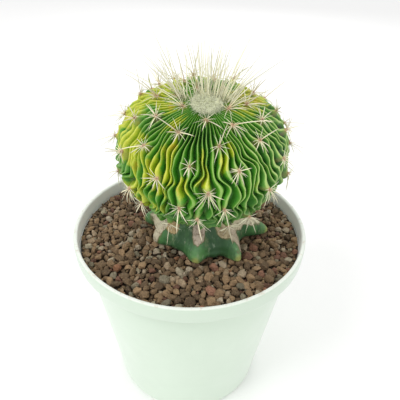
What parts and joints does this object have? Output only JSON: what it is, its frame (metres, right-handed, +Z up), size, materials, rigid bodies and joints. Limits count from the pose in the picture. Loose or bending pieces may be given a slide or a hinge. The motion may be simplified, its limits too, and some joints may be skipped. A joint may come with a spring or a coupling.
{
  "type": "potted round cactus",
  "caption": "Round wavy-ribbed cactus grafted on a short ribbed stock, standing in volcanic grit in a round white pot.",
  "frame": {"origin": "centre of the pot's base, on the surface that the pot stands on", "axes": "+Z up along the pot's axis; -Y towards the viewer, the way the cactus leans"},
  "size_m": [0.105, 0.105, 0.173],
  "materials": {
    "pot_plastic": "smooth white injection-moulded plastic with a faint green cast, satin",
    "volcanic_grit": "rough brown, reddish and grey volcanic grit, dry and matt",
    "stock_skin": "blue-green waxy cactus skin with tan cork on the cut shoulders",
    "ribbed_skin": "variegated green and yellow waxy skin, lighter along the rib crests",
    "wool_and_spines": "cream wool and straw-coloured spines"
  },
  "bodies": {
    "root": {"pot": "pot_plastic", "substrate": "volcanic_grit", "rootstock": "stock_skin", "scion": "ribbed_skin", "crown_tuft": "wool_and_spines"}
  },
  "joints": []
}
